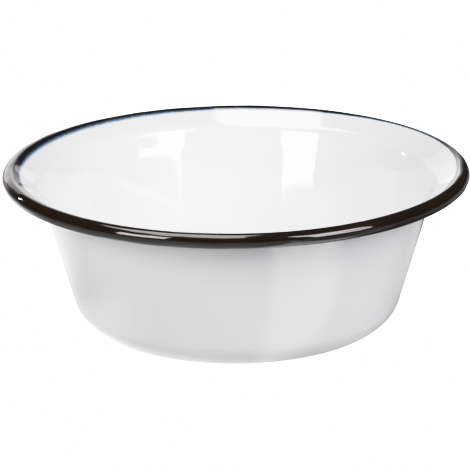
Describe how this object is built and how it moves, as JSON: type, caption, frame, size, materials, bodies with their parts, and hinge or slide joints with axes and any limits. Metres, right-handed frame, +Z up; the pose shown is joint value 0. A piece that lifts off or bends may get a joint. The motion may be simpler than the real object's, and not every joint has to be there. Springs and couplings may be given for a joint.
{
  "type": "enamel basin bowl",
  "caption": "Round enamelled steel basin bowl with straight tapered sides, a flared lip and a curled black rim, for washing, mixing or serving.",
  "frame": {"origin": "centre of the foot, on the surface that the bowl stands on", "axes": "+Z up along the bowl's axis; +Y away from the camera of the picture and +X to its right, which only the uneven border of the edging tells apart"},
  "size_m": [0.18, 0.18, 0.0625],
  "materials": {
    "sheet_steel": "pickled deep-drawing sheet, covered by the enamel",
    "ground_enamel": "glossy blue-black ground coat, seen only in the seam of the curl",
    "white_enamel": "high gloss with a faint orange peel",
    "black_enamel": "high gloss, brown-black"
  },
  "bodies": {
    "root": {"steel_shell": "sheet_steel", "ground_coat": "ground_enamel", "inner_enamel": "white_enamel", "outer_enamel": "white_enamel", "rim_enamel": "black_enamel"}
  },
  "joints": []
}
